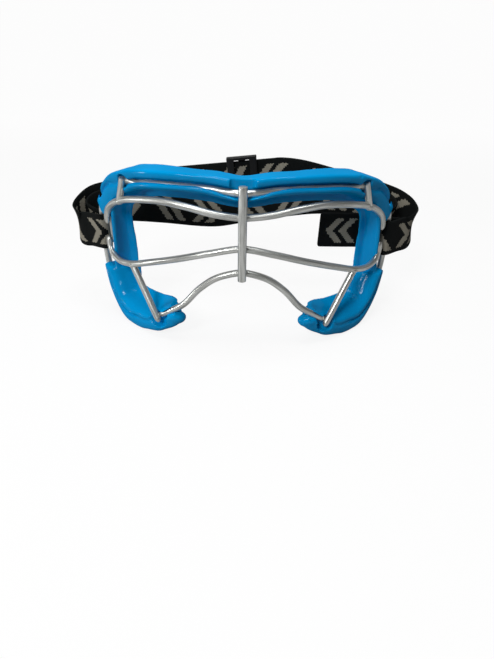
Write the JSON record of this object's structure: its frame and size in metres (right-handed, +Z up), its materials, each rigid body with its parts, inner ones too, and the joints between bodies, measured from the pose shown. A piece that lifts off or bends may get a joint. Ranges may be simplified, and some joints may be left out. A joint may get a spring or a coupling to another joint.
{
  "type": "lacrosse goggles",
  "caption": "Wire cage sports goggles with a soft moulded blue face gasket and a patterned elastic head strap with a sliding adjuster.",
  "frame": {"origin": "centre of the bounding box at its base, the plane that the two cheek pads stand on", "axes": "+X to the right of the picture, along the width of the face; +Y from the front of the cage back to the strap; +Z up, from the cheeks to the brow"},
  "size_m": [0.2363, 0.0982, 0.1095],
  "materials": {
    "painted_wire": "satin silver paint",
    "gasket_blue": "glossy moulded elastomer",
    "strap_webbing": "woven elastic with grey motifs",
    "slide_plastic": "moulded black plastic"
  },
  "bodies": {
    "goggles": {"perimeter_wire": "painted_wire", "upper_eye_wire": "painted_wire", "middle_wire": "painted_wire", "nose_arch_wire": "painted_wire", "centre_bar": "painted_wire", "left_corner_post": "painted_wire", "right_corner_post": "painted_wire", "left_cheek_strut": "painted_wire", "right_cheek_strut": "painted_wire", "left_temple_bar": "painted_wire", "right_temple_bar": "painted_wire", "face_gasket": "gasket_blue", "strap_outer_layer": "strap_webbing", "strap_inner_layer": "strap_webbing"},
    "slide": {"strap_slide": "slide_plastic"}
  },
  "joints": [
    {"name": "strap_adjust", "type": "slide", "parent": "goggles", "child": "slide", "axis": [0.9943, 0, 0.1062], "range_m": [-0.03, 0.01]}
  ]
}
